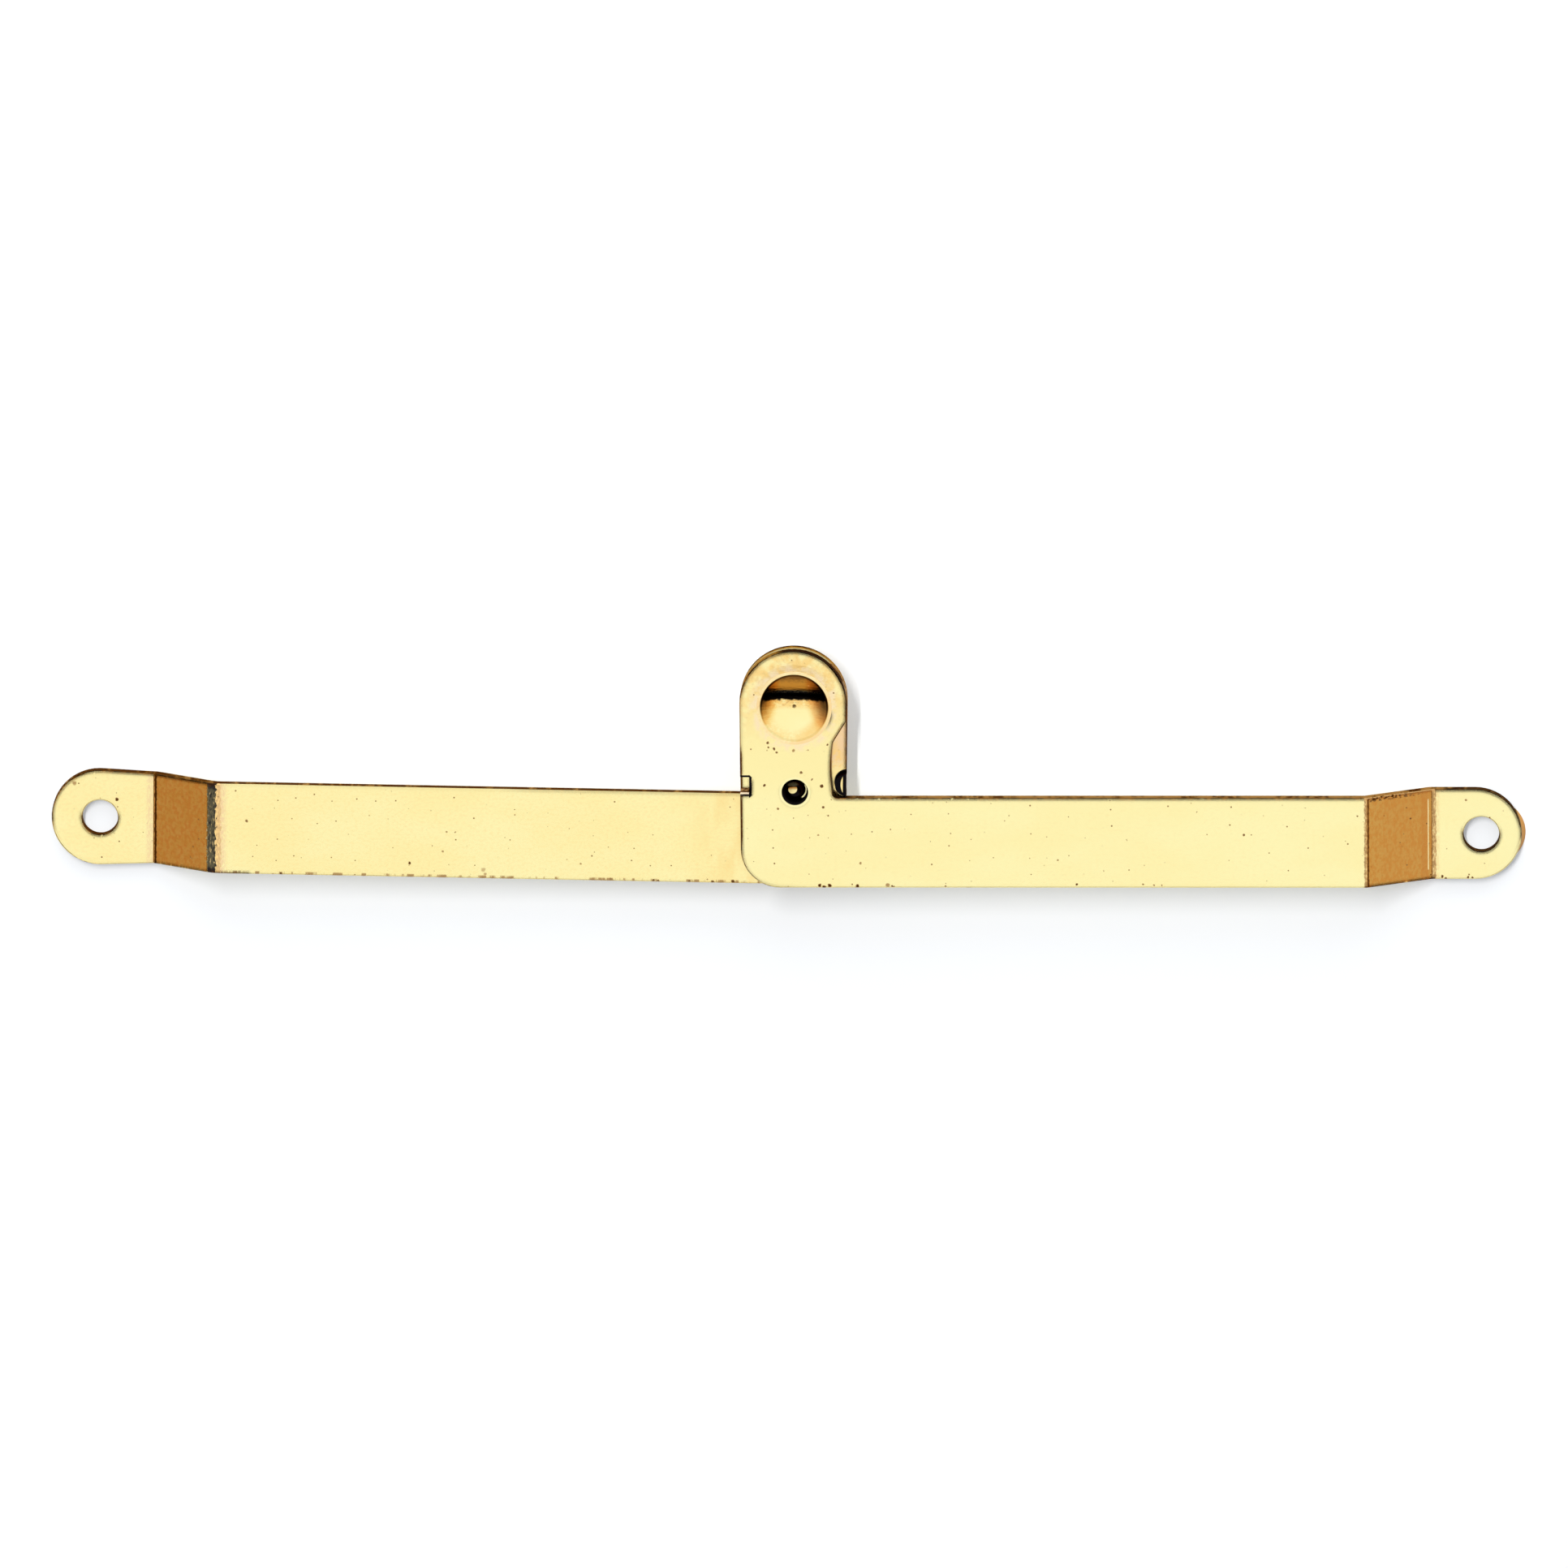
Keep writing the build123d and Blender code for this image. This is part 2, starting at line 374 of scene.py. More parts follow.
def plating_group():
    """Clouds, fine grain, rare specks and a height for the rolled and plated surface."""
    labels = ("Cloud", "Grain", "Speck", "Height")
    group, given, made = new_group("plating", ("Place",), labels)
    place = given.outputs["Place"]
    cloud = grain(group, place, 0.16, 4.0, (0.5, 1, 1))
    fine = grain(group, place, 3.2, 3.0, (0.8, 1.1, 1))
    dots = grain(group, place, 1.9, 2.0)
    clumps = grain(group, place, 0.45, 1.0)
    rolled = grain(group, place, 3.0, 2.0, (0.25, 2.0, 1))
    speck = times(group, rise(group, dots, 0.72, 0.78), rise(group, clumps, 0.52, 0.66))
    cells = put(group, "TexVoronoi")
    cells.voronoi_dimensions = "2D"
    cells.inputs["Scale"].default_value = pepper_scale
    feed(group, place, cells.inputs["Vector"])
    chance, size, _ = split(group, cells.outputs["Color"])
    dot_edge = maths(group, "MULTIPLY_ADD", size, pepper_size, pepper_size)
    dot = rise(group, cells.outputs["Distance"], dot_edge, times(group, dot_edge, 0.4))
    speck = most(group, speck, times(group, dot, rise(group, chance, 0.35, 1.0)))
    feed(group, rise(group, cloud, 0.36, 0.66), made.inputs["Cloud"])
    feed(group, fine, made.inputs["Grain"])
    feed(group, speck, made.inputs["Speck"])
    feed(group, maths(group, "ADD", times(group, fine, 0.5), rolled), made.inputs["Height"])
    return group


cut_edges = cut_edge_group()
plating = plating_group()


# Materials


def new_material(name):
    """A material with only an output node, and its node tree."""
    material = bpy.data.materials.new(name)
    material.use_nodes = True
    tree = material.node_tree
    tree.nodes.clear()
    return material, tree, put(tree, "OutputMaterial")


def own_place(tree, turn):
    """Millimetres from the pivot, along the axes of an arm that is turned about it."""
    mapping = put(tree, "Mapping")
    mapping.vector_type = "TEXTURE"
    mapping.inputs["Location"].default_value = pivot
    mapping.inputs["Rotation"].default_value = (0, 0, math.radians(turn))
    mapping.inputs["Scale"].default_value = (MILLIMETRE, MILLIMETRE, MILLIMETRE)
    feed(tree, put(tree, "TexCoord").outputs["Object"], mapping.inputs["Vector"])
    return mapping.outputs["Vector"]


def flattened(tree, place):
    """The place without its height, shaken a little so that marks have ragged borders."""
    shake = put(tree, "TexNoise")
    shake.inputs["Scale"].default_value = shake_scale
    feed(tree, place, shake.inputs["Vector"])
    shift = put(tree, "VectorMath")
    shift.operation = "SUBTRACT"
    feed(tree, shake.outputs["Color"], shift.inputs[0])
    shift.inputs[1].default_value = (0.5, 0.5, 0.5)
    ragged = put(tree, "VectorMath")
    ragged.operation = "MULTIPLY_ADD"
    feed(tree, shift.outputs["Vector"], ragged.inputs[0])
    ragged.inputs[1].default_value = (shake_amount, shake_amount, shake_amount)
    feed(tree, place, ragged.inputs[2])
    flat = put(tree, "VectorMath")
    flat.operation = "MULTIPLY"
    feed(tree, ragged.outputs["Vector"], flat.inputs[0])
    flat.inputs[1].default_value = (1, 1, 0)
    return flat.outputs["Vector"]


def spots(tree, place, places):
    """A mask of small round marks, each given as X, Y, radius and strength."""
    mask = 0.0
    for x, y, radius, strength in places:
        away = distance(tree, place, (x, y, 0))
        spot = times(tree, rise(tree, away, radius * spot_halo, radius * spot_core), strength)
        mask = most(tree, spot, mask)
    return mask


def reach_from(tree, x, y, centre):
    """Distance across the faces from a centre."""
    away_x = maths(tree, "SUBTRACT", x, centre[0])
    away_y = maths(tree, "SUBTRACT", y, centre[1])
    squares = maths(tree, "ADD", times(tree, away_x, away_x), times(tree, away_y, away_y))
    return maths(tree, "SQRT", squares)


def finish_metal(tree, output, colour, dull_places, edge, roughness, height, depth):
    """The plated metal's shader.

    Dull places is a mask of where the plating is off or torn, and of painted highlights and painted
    bend reflections, all made dull; edge is one of torn places that mirror little at a shallow
    angle.
    """
    bump = put(tree, "Bump")
    bump.inputs["Strength"].default_value = 1.0
    bump.inputs["Distance"].default_value = depth
    feed(tree, height, bump.inputs["Height"])
    shader = put(tree, "BsdfPrincipled")
    feed(tree, rest_of(tree, times(tree, dull_places, dull_share)), shader.inputs["Metallic"])
    feed(tree, colour, shader.inputs["Base Color"])
    feed(tree, roughness, shader.inputs["Roughness"])
    feed(tree, blend(tree, edge, (1, 1, 1), torn_sheen), shader.inputs["Specular Tint"])
    feed(tree, bump.outputs["Normal"], shader.inputs["Normal"])
    feed(tree, shader.outputs["BSDF"], output.inputs["Surface"])


# Both arms

# Spots: X, Y, radius and strength
front_spots = (
    (-3.0, -4.0, 0.16, 0.8), (-2.9, -4.5, 0.13, 0.7), (-2.3, -4.7, 0.17, 0.8),
    (-2.0, -5.1, 0.16, 0.7), (-0.1, -4.9, 0.20, 0.4), (3.7, -4.2, 0.13, 0.7),
    (-3.4, -8.9, 0.18, 0.9), (3.0, -9.0, 0.20, 0.9), (0.7, -7.4, 0.18, 0.7),
    (-1.9, -11.6, 0.15, 0.6), (3.2, -11.4, 0.19, 0.8), (3.7, -12.4, 0.12, 0.6),
    (7.3, -17.9, 0.15, 0.4), (2.6, -14.6, 0.14, 0.3), (2.7, -20.45, 0.22, 1.0),
    (3.2, -20.60, 0.22, 1.0), (3.8, -20.45, 0.22, 1.0), (6.9, -20.50, 0.24, 1.0),
    (72.3, -20.4, 0.16, 0.9), (72.7, -20.6, 0.14, 0.8), (75.2, -20.5, 0.15, 0.8),
    (75.7, -20.5, 0.13, 0.8), (75.0, -11.6, 0.16, 0.4), (10.3, -20.4, 0.28, 0.35),
    (10.8, -20.5, 0.14, 0.9), (16.8, -20.5, 0.11, 0.5), (16.8, -20.2, 0.09, 0.4),
    (31.5, -20.3, 0.14, 0.9), (38.9, -20.3, 0.12, 0.5), (40.1, -20.4, 0.12, 0.5),
    (41.0, -20.4, 0.10, 0.4), (29.4, -17.5, 0.15, 0.4), (50.2, -14.6, 0.15, 0.7),
)
rear_spots = (
    (-76.1, -13.4, 0.22, 0.95), (-80.9, -11.6, 0.30, 0.3), (-61.3, -14.6, 0.17, 0.6),
    (-57.4, -20.6, 0.18, 0.9), (-43.0, -19.1, 0.17, 0.9), (-39.3, -17.7, 0.13, 0.4),
    (-38.9, -15.4, 0.12, 0.4), (-37.9, -15.4, 0.12, 0.3), (-34.7, -19.7, 0.30, 0.2),
    (-34.5, -20.2, 0.22, 0.25), (-31.2, -13.3, 0.12, 0.3), (-23.8, -18.8, 0.13, 0.35),
    (-20.4, -20.5, 0.20, 0.5), (-15.6, -20.6, 0.18, 0.8), (-15.1, -20.6, 0.16, 0.7),
    (-6.7, -20.5, 0.2, 0.9), (-9.0, -20.6, 0.17, 0.8), (-11.6, -20.6, 0.17, 0.7),
)


def begin_arm(name, turn, bend_start, bend_end):
    """A new arm material, with its places and the masks that both arms use."""
    material, tree, output = new_material(name)
    place = own_place(tree, turn)
    flat = flattened(tree, place)
    x, y, z = split(tree, place)
    edges = use_group(tree, cut_edges, Place=place, Bend_Start=bend_start, Bend_End=bend_end)
    plate = use_group(tree, plating, Place=place)
    return SimpleNamespace(
        material=material,
        tree=tree,
        output=output,
        place=place,
        flat=flat,
        x=x,
        y=y,
        z=z,
        rough_x=split(tree, flat)[0],
        wall=edges.outputs["Wall"],
        rim=edges.outputs["Rim"],
        front=edges.outputs["Front"],
        down=edges.outputs["Down"],
        up=edges.outputs["Up"],
        cloud=plate.outputs["Cloud"],
        fine=plate.outputs["Grain"],
        speck=plate.outputs["Speck"],
        height=plate.outputs["Height"],
        edge_noise=grain(tree, place, 1.6, 3.0),
    )


def lay_marks(arm, colour, marks):
    """Dark marks on the front, each with a brown border."""
    tree = arm.tree
    border = rise(tree, marks, 0.0, 0.35)
    colour = lay(tree, colour, crank_brown, border, arm.front, 0.75)
    return lay(tree, colour, speck_brown, marks, arm.front)


def wall_colour(arm, clean):
    """Streaked walls; on the head they are darker, and painted black as shade towards the back."""
    tree = arm.tree
    drift = grain(tree, arm.place, 0.22, 2.0, (1, 0.6, 0.6))
    streak = grain(tree, arm.place, 1.5, 3.0, (1, 1, 0.25))
    streak = maths(tree, "MULTIPLY_ADD", maths(tree, "SUBTRACT", drift, 0.5), 0.5, streak)
    plain = blend(tree, rise(tree, streak, clean - 0.14, clean + 0.10), cut_tan, cut_brown)
    on_head = blend(tree, rise(tree, arm.edge_noise, 0.35, 0.65), cut_shade, cut_gold)
    on_head = lay(
        tree,
        on_head,
        line_black,
        rise(tree, arm.z, *head_wall_shade_heights),
        rise(tree, arm.edge_noise, 0.34, 0.46),
        rise(tree, arm.x, *head_wall_shade_right_end),
    )
    return blend(tree, rise(tree, arm.y, *head_walls_start), plain, on_head)


def lay_cut_edges(arm, colour, clean, line_above, line_under):
    """Lay the sheared walls, and the dark lines of the rims as painted shade, over a face's colour.

    Clean is from 0.3, dark walls, to 0.7, golden ones. Line above is how much of the rims
    towards the head is dark, and line under the same for the other side; each may be a mask.
    """
    tree = arm.tree
    colour = blend(tree, arm.wall, colour, wall_colour(arm, clean))
    level = rest_of(tree, most(tree, arm.up, arm.down))
    head_left = times(
        tree, rise(tree, arm.x, *head_left_across), rise(tree, arm.y, *head_left_along), 0.6
    )
    # Painted shade: the rim lines are dark on the sides and on the rims towards the head, and faint
    # towards the foot
    side = times(tree, level, rise(tree, arm.edge_noise, 0.24, 0.36), rest_of(tree, head_left))
    upper = times(tree, arm.up, line_above, rise(tree, arm.edge_noise, 0.22, 0.36))
    lower = times(tree, arm.down, line_under)
    beyond_rivet = rise(
        tree, distance(tree, arm.place, (0, 0, rivet_face_height)), *rivet_line_reach
    )
    rim = times(tree, arm.rim, most(tree, side, upper, lower), beyond_rivet)
    rim_colour = blend(tree, rise(tree, arm.edge_noise, 0.46, 0.66), line_black, line_brown)
    return blend(tree, rim, colour, rim_colour)


def finish_arm(arm, colour, marks, dull_places):
    tree = arm.tree
    rougher_places = most(tree, arm.wall, marks, dull_places)
    finish_metal(
        tree,
        arm.output,
        colour,
        dull_places,
        most(tree, arm.wall, arm.rim),
        maths(tree, "MULTIPLY_ADD", rougher_places, extra_roughness, plate_roughness),
        arm.height,
        arm_bump_depth,
    )
    return arm.material


# Front arm


def front_face_tones(arm, blotch):
    """The plate, warmer and stained on the head, and burnished round the rivet."""
    tree = arm.tree
    colour = blend(tree, times(tree, arm.cloud, 0.55), plate_pale, plate_yellow)
    colour = lay(tree, colour, plate_orange, rise(tree, arm.fine, 0.45, 0.75), 0.10)
    colour = lay(tree, colour, plate_yellow, rise(tree, arm.y, *head_tone_start), 0.8)
    high = rise(tree, arm.y, *head_warmth_start)
    colour = lay(tree, colour, plate_orange, high, rise(tree, blotch, 0.34, 0.62), 0.78)
    stain = patches(tree, arm.place, 2.4, 4.0, 0.50, 0.72)
    colour = lay(tree, colour, crank_brown, high, stain, 0.24)
    reach = distance(tree, arm.flat, (0, 0, 0))
    burnished = band(tree, reach, rivet_edge, setting_ring - 0.5, 0.9)
    return lay(tree, colour, plate_pink, burnished, rise(tree, blotch, 0.66, 0.36), 0.75)


def front_crank_tones(arm, colour, crank, brushed):
    """Painted shade on the sloping crank: a more orange tone, and darker strips along it near both
    bends.
    """
    tree = arm.tree
    # Painted shade: the crank more orange, and darker past the knee and before the foot
    colour = lay(tree, colour, plate_orange, crank, rise(tree, brushed, 0.40, 0.62), 0.60)
    beyond_knee = rise(tree, arm.x, front_knee + 1.1, front_knee + 2.6)
    before_foot = band(tree, arm.x, front_foot - 1.1, front_foot - 0.5, 0.2)
    shaded = most(tree, times(tree, crank, beyond_knee, 0.18), times(tree, before_foot, 0.6))
    return blend(tree, shaded, colour, neck_orange)


def front_bend_lines(arm, colour):
    """Painted reflection of the bends: fuzzy dark lines along the knee and the foot, and a warm
    border beyond the foot.
    """
    tree = arm.tree
    fuzz = patches(tree, arm.place, 5.0, 4.0, 0.26, 0.60, (1.2, 0.5, 1))
    knee_line = band(tree, arm.rough_x, front_knee - 0.26, front_knee + 0.14, 0.14)
    foot_line = band(tree, arm.rough_x, front_foot - 0.02, front_foot + 0.38, 0.12)
    beyond_foot = band(tree, arm.x, front_foot + 0.3, front_foot + 0.6, 0.4)
    colour = lay(tree, colour, neck_orange, beyond_foot, fuzz, arm.front, 0.55)
    lines = times(
        tree, most(tree, knee_line, foot_line), rise(tree, fuzz, -0.6, 0.6), arm.front, 0.85
    )
    colour = blend(tree, lines, colour, crank_brown)
    return lay(tree, colour, speck_brown, lines, rise(tree, fuzz, 0.55, 1.0), 0.50)


def front_crumbs(arm, crank):
    """Crumbs of torn plating under the crank's edge towards the head."""
    tree = arm.tree
    from_top = maths(tree, "SUBTRACT", strip_top, arm.y)
    return times(
        tree,
        patches(tree, arm.place, 2.6, 3.0, 0.49, 0.55, (1, 1.4, 1)),
        rise(tree, from_top, 0.60, 0.25),
        rise(tree, arm.x, *crumbs_right_end),
        crank,
    )


def front_edges(arm, colour, blotch, crumbs):
    """The walls and rims: brown along the crank, and black round the head, the neck's corner and
    the tab as painted shade.
    """
    tree, x, y = arm.tree, arm.x, arm.y
    along_crank = band(tree, x, front_knee - 0.2, front_foot + 0.2, 0.2)
    # Painted shade: a dark line along the neck's lower rims, where it stands over the rear arm
    neck_shade = times(tree, rise(tree, y, -9.4, -8.6), rise(tree, x, 1.0, 3.0))
    heel = times(tree, rise(tree, x, 2.0, -3.5), rise(tree, y, -13.0, -14.0), 0.3)
    under_crank = times(tree, along_crank, rise(tree, blotch, 0.30, 0.44), 0.95)
    line_under = maths(tree, "ADD", most(tree, under_crank, neck_shade, heel), 0.05)
    colour = lay_cut_edges(arm, colour, front_clean, rest_of(tree, along_crank), line_under)
    upper_rim = times(tree, arm.rim, arm.up)
    colour = lay(tree, colour, crank_brown, upper_rim, along_crank, rest_of(tree, crumbs))
    upper_edge = most(tree, arm.wall, upper_rim)
    # Painted shade: black on the upper walls and rims round the head, the walls at the neck's
    # corner and the tab's upper edge
    head_arc = times(
        tree, rise(tree, y, *head_arc_along), rise(tree, x, *head_arc_across), upper_edge
    )
    neck_corner = times(
        tree,
        arm.wall,
        band(tree, x, 3.4, 5.6, 0.4),
        rise(tree, y, -8.6, -8.9),
        rise(tree, y, strip_top - 1.0, strip_top - 0.5),
    )
    on_tab = rise(tree, x, front_foot + 0.8, front_foot + 1.8)
    tab_edge = times(tree, upper_edge, on_tab, rise(tree, blotch, 0.28, 0.46), 0.85)
    return blend(tree, most(tree, head_arc, neck_corner, tab_edge), colour, painted_black)


def front_arm_metal():
    arm = begin_arm("front_arm_plating", past_straight_angle, front_knee - 1.0, front_foot + 1.0)
    tree, x, y = arm.tree, arm.x, arm.y
    blotch = grain(tree, arm.place, 0.9, 4.0)
    brushed = grain(tree, arm.place, 2.4, 5.0, (1.4, 0.7, 1))
    crank = band(tree, x, front_knee + 0.1, front_foot - 0.1, 0.1)
    colour = front_face_tones(arm, blotch)
    colour = front_crank_tones(arm, colour, crank, brushed)
    colour = front_bend_lines(arm, colour)
    crumbs = front_crumbs(arm, crank)
    marks = most(
        tree, spots(tree, arm.flat, front_spots), times(tree, arm.speck, speck_strength), crumbs
    )
    colour = lay_marks(arm, colour, marks)
    colour = front_edges(arm, colour, blotch, crumbs)
    # Painted shade: a dark line along the front arm's left edge, where it stands over the rear arm
    left_edge_shade = times(
        tree,
        rise(tree, x, left_side + 0.28, left_side + 0.20),
        band(tree, y, *left_edge_shade_ends, 1.6),
        rise(tree, brushed, 0.30, 0.42),
    )
    colour = lay(tree, colour, speck_brown, left_edge_shade, arm.front, 0.9)
    # A painted highlight: a pale, dull line just before the front foot, where the bend mirrors the
    # light
    bend_highlight = times(
        tree,
        band(tree, x, front_foot - 0.47, front_foot - 0.39, 0.05),
        band(tree, y, *bend_highlight_ends, 0.3),
        arm.front,
    )
    colour = blend(tree, bend_highlight, colour, highlight_peach)
    colour, nib = nib_marks(tree, colour, x, y)
    colour, ramp = recess_marks(tree, colour, x, y, arm.fine)
    colour, pit_light = pit_shade_and_highlights(tree, colour, x, y)
    return finish_arm(arm, colour, marks, most(tree, nib, ramp, pit_light, bend_highlight))


def nib_marks(tree, colour, x, y):
    """The torn metal of the trimming nib, outside the tab's round tip."""
    reach = reach_from(tree, x, y, tab_tip_centre)
    nib = times(
        tree,
        rise(tree, reach, front_tip_radius + 0.02, front_tip_radius + 0.08),
        maths(tree, "GREATER_THAN", x, tab_tip_centre[0] + 3.0),
    )
    return blend(tree, nib, colour, nib_orange), nib


def recess_marks(tree, colour, x, y, fine):
    """The ramp in the recess behind the front arm's lug, and painted shade along its borders."""
    right = maths(tree, "SUBTRACT", x, recess_right)
    top = maths(tree, "SUBTRACT", y, recess_top)
    bottom = maths(tree, "SUBTRACT", recess_bottom, y)
    ramp = times(
        tree,
        rise(tree, right, 0.02, -0.02),
        rise(tree, bottom, 0.02, -0.02),
        rise(tree, y, recess_bottom + 0.66, recess_bottom + 0.58),
    )
    ramp_colour = blend(tree, rise(tree, fine, 0.40, 0.62), cut_tan, cut_brown)
    colour = blend(tree, ramp, colour, ramp_colour)
    lip = rise(tree, y, recess_bottom + 0.30, recess_bottom + 0.24)
    colour = lay(tree, colour, plate_pink, ramp, lip)
    steps = most(
        tree,
        band(tree, y, recess_bottom + 0.30, recess_bottom + 0.36, 0.04),
        band(tree, y, recess_bottom + 0.60, recess_bottom + 0.66, 0.04),
    )
    colour = lay(tree, colour, cut_brown, steps, rise(tree, right, 0.0, -0.05), 0.8)
    # Painted shade: dark lines along the recess's right, top and bottom borders
    right_line = band(tree, right, -0.20, 0.07, 0.04)
    top_line = band(tree, top, -0.05, 0.20, 0.05)
    bottom_line = times(tree, band(tree, bottom, -0.10, 0.04, 0.05), 0.85)
    corner_cut = maths(tree, "ADD", right, most(tree, top, bottom))
    within = times(
        tree,
        rise(tree, most(tree, right, top, bottom), 0.28, 0.20),
        rise(tree, corner_cut, 0.16, 0.04),
    )
    line = times(tree, most(tree, right_line, top_line, bottom_line), within)
    return blend(tree, line, colour, painted_black), times(tree, ramp, rest_of(tree, line))


def pit_shade_and_highlights(tree, colour, x, y):
    """The detent pit: painted black as shade, with a pale ring round it, an olive smudge, and
    painted highlights on its floor and along its ledge.
    """
    up = maths(tree, "ADD", y, detent_reach)
    reach = reach_from(tree, x, up, (0, 0))
    around = rise(tree, reach, pit_edge + 0.30, pit_edge + 0.20)
    colour = blend(tree, around, colour, plate_pale)
    # Painted shade: the pit black
    pit = rise(tree, reach, pit_edge + 0.01, pit_edge - 0.05)
    colour = blend(tree, pit, colour, painted_black)
    narrowed_x = times(tree, maths(tree, "ADD", x, 0.25), 0.5)
    smudge = rise(tree, reach_from(tree, narrowed_x, up, (0, 0.75)), 0.36, 0.20)
    smudge = times(tree, smudge, 0.8)
    colour = blend(tree, smudge, colour, pit_olive)
    # A painted highlight on the pit's floor
    glint = times(
        tree,
        rise(tree, reach_from(tree, x, up, (-0.28, 0.12)), 0.54, 0.46),
        rise(tree, up, 0.42, 0.28),
    )
    glint_colour = blend(tree, rise(tree, up, 0.30, -0.02), nib_orange, plate_yellow)
    colour = blend(tree, glint, colour, glint_colour)
    ledge_x, ledge_y = ledge_centre
    away = reach_from(tree, x, up, ledge_centre)
    side = maths(
        tree, "ARCTAN2", maths(tree, "SUBTRACT", up, ledge_y), maths(tree, "SUBTRACT", x, ledge_x)
    )
    # A painted highlight: a pale crescent along the ledge
    crescent = times(tree, band(tree, away, 1.16, 1.25, 0.04), band(tree, side, -0.80, 0.35, 0.30))
    return blend(tree, crescent, colour, plate_pale), most(tree, crescent, glint, smudge)


# Rear arm


def rear_face_tones(arm):
    """The plate: more orange and mottled on the sloping crank as painted shade, more orange near
    the knuckle, and pink and orange on the neck.
    """
    tree, x, y = arm.tree, arm.x, arm.y
    colour = blend(tree, times(tree, arm.cloud, 0.65), plate_yellow, plate_pale)
    colour = lay(tree, colour, plate_orange, rise(tree, arm.fine, 0.42, 0.72), 0.18)
    # Painted shade: the sloping crank more orange and mottled
    crank = band(tree, x, rear_foot + 0.3, rear_knee - 0.7, 0.1)
    brushed = patches(tree, arm.place, 2.4, 5.0, 0.42, 0.60, (1.2, 0.8, 1))
    colour = lay(tree, colour, plate_orange, crank, brushed, 0.75)
    mottle = patches(tree, arm.place, 1.1, 5.0, 0.40, 0.62)
    colour = lay(tree, colour, crank_gold, crank, mottle, 0.34)
    blotch = patches(tree, arm.place, 0.5, 3.0, 0.30, 0.62, (1.0, 0.45, 1))
    colour = lay(tree, colour, plate_orange, rise(tree, x, *knuckle_tone_start), blotch, 0.42)
    neck = times(tree, rise(tree, x, *neck_left), rise(tree, y, *neck_bottom))
    neck_blotch = patches(tree, arm.place, 0.8, 5.0, 0.38, 0.64, (1, 0.8, 1))
    neck_colour = blend(tree, neck_blotch, neck_rose, neck_orange)
    colour = lay(tree, colour, neck_colour, neck, rise(tree, y, *neck_tone_start))
    freckles = patches(tree, arm.place, 3.0, 4.0, 0.46, 0.60)
    freckled = band(tree, y, *neck_freckles, 0.6)
    return lay(tree, colour, plate_orange, neck, freckled, freckles, 0.75)


def rear_arm_metal():
    arm = begin_arm("rear_arm_plating", 0, rear_foot - 1.0, rear_knee + 1.6)
    tree, x, y = arm.tree, arm.x, arm.y
    colour = rear_face_tones(arm)
    streaks = grain(tree, arm.place, 3.4, 4.0, (1.6, 0.6, 1))

    # Painted reflection of the bends: a dark band along the knee, streaks beyond it, and pale
    # borders beyond the knee and before the foot
    ragged_knee_x = maths(tree, "MULTIPLY_ADD", maths(tree, "SUBTRACT", streaks, 0.5), 0.9, arm.rough_x)
    fold = band(tree, ragged_knee_x, rear_knee - 0.60, rear_knee + 0.28, 0.08)
    fold_colour = blend(tree, rise(tree, streaks, 0.36, 0.50), painted_black, fold_olive)
    fold_colour = blend(tree, rise(tree, streaks, 0.58, 0.68), fold_colour, fold_streak)
    fold_ends = most(
        tree,
        rise(tree, y, strip_top - 0.9, strip_top - 0.3),
        rise(tree, y, strip_bottom + 0.81, strip_bottom + 0.41),
    )
    fold_colour = blend(tree, fold_ends, fold_colour, painted_black)
    beyond_knee = band(tree, x, rear_knee + 0.7, rear_knee + 1.0, 0.8)
    before_foot = times(tree, band(tree, x, rear_foot - 0.5, rear_foot, 0.5), 0.8)
    pale = most(tree, beyond_knee, before_foot)
    colour = lay(tree, colour, neck_rose, pale, rise(tree, streaks, 0.30, 0.60), arm.front, 0.85)
    knee_streaks = band(tree, ragged_knee_x, rear_knee + 0.34, rear_knee + 0.80, 0.16)
    knee_streak_colour = blend(tree, rise(tree, streaks, 0.44, 0.62), crank_brown, plate_orange)
    colour = lay(tree, colour, knee_streak_colour, knee_streaks, arm.front, 0.75)

    # Spots, a dark line along the foot that is painted reflection of the bend, and crumbs along the
    # lower edge
    low_edge = times(
        tree,
        patches(tree, arm.place, 1.3, 4.0, 0.50, 0.62, (1.2, 0.2, 1)),
        rise(tree, y, strip_bottom + 0.42, strip_bottom + 0.26),
        rise(tree, x, rear_knee + 1.0, rear_knee + 3.0),
        0.35,
    )
    marks = most(
        tree,
        spots(tree, arm.flat, rear_spots),
        times(tree, arm.speck, speck_strength),
        band(tree, arm.rough_x, rear_foot + 0.16, rear_foot + 0.34, 0.06),
        low_edge,
    )
    colour = lay_marks(arm, colour, marks)
    colour = lay(tree, colour, fold_colour, fold, arm.front)

    along_crank = band(tree, x, rear_foot + 0.3, rear_knee + 4.0, 0.4)
    ragged = rise(tree, streaks, 0.36, 0.44)
    line_under = maths(tree, "ADD", times(tree, along_crank, ragged, 0.85), 0.04)
    # Painted shade on the rims towards the head: full over the crank and the tab, partial on the
    # head and the strip
    line_above = most(
        tree,
        rise(tree, x, rear_knee + 0.7, rear_knee - 0.1),
        times(tree, rise(tree, y, *rear_head_line_start), 0.55),
        times(tree, rise(tree, x, *rear_strip_line_start), 0.35),
        0.10,
    )
    colour = lay_cut_edges(arm, colour, rear_clean, line_above, line_under)
    # Painted shade on the rear arm's lug
    colour = blend(tree, lug_shade(tree, x, y), colour, painted_black)
    dull_places = times(tree, most(tree, fold, knee_streaks), arm.front)
    return finish_arm(arm, colour, marks, dull_places)


